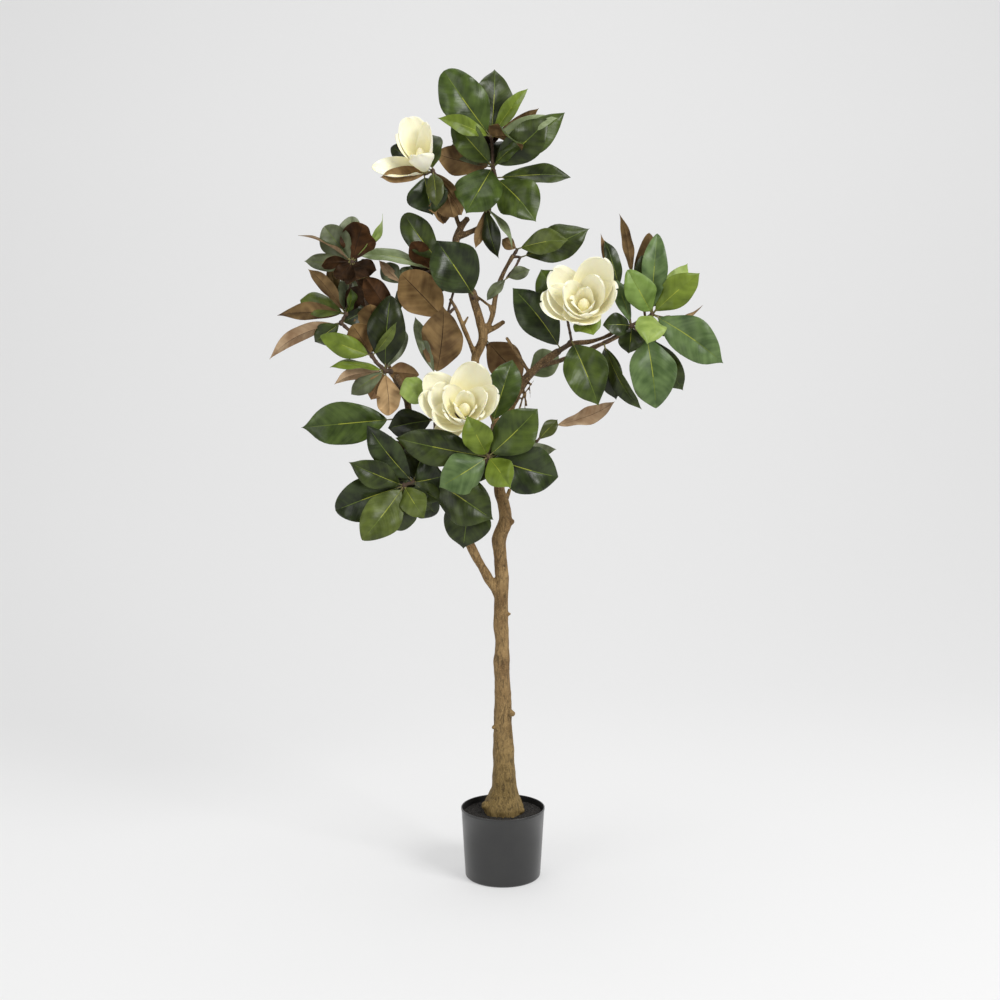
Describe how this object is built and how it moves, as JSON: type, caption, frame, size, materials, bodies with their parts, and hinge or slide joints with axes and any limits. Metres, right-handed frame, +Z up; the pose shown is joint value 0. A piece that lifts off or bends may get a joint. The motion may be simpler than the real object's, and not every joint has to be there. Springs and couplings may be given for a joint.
{
  "type": "artificial magnolia tree",
  "caption": "Artificial magnolia tree with a gnarled trunk, clustered leathery leaves and cream blooms, standing in a plain round pot.",
  "frame": {"origin": "centre of the pot's flat underside", "axes": "+Z up along the tree's height, +X to the right and -Y towards the side that the tree is arranged for"},
  "size_m": [0.983, 0.5162, 1.801],
  "materials": {
    "pot": "satin",
    "fill": "rough",
    "bark": "rough bark",
    "foliage": "glossy leaf"
  },
  "bodies": {
    "root": {"pot": "pot", "pot_fill": "fill", "trunk": "bark", "bough_left": "bark", "bough_left_upper": "bark", "bough_leader": "bark", "bough_right": "bark", "bough_right_outer": "bark", "bough_mid_right": "bark", "bough_mid_left": "bark", "bough_top": "bark", "bough_bloom": "bark", "bough_front": "bark", "bough_low_left": "bark", "bough_low_right": "bark", "bough_back_low": "bark", "bough_back_left": "bark", "bough_back_mid": "bark", "bough_back_high": "bark", "bough_back_right": "bark", "bough_back_upper_left": "bark", "leaves_top": "foliage", "leaves_bloom": "foliage", "leaves_left_high": "foliage", "leaves_mid_high": "foliage", "leaves_mid_low": "foliage", "leaves_top_low": "foliage", "leaves_mid_right": "foliage", "leaves_right_inner": "foliage", "leaves_right": "foliage", "leaves_low_left": "foliage", "leaves_front": "foliage", "leaves_low_right": "foliage", "leaves_behind_mid": "foliage", "leaves_behind_low": "foliage", "leaves_behind_left": "foliage", "leaves_behind_high": "foliage", "leaves_behind_right": "foliage", "leaves_behind_upper_left": "foliage"}
  },
  "joints": []
}
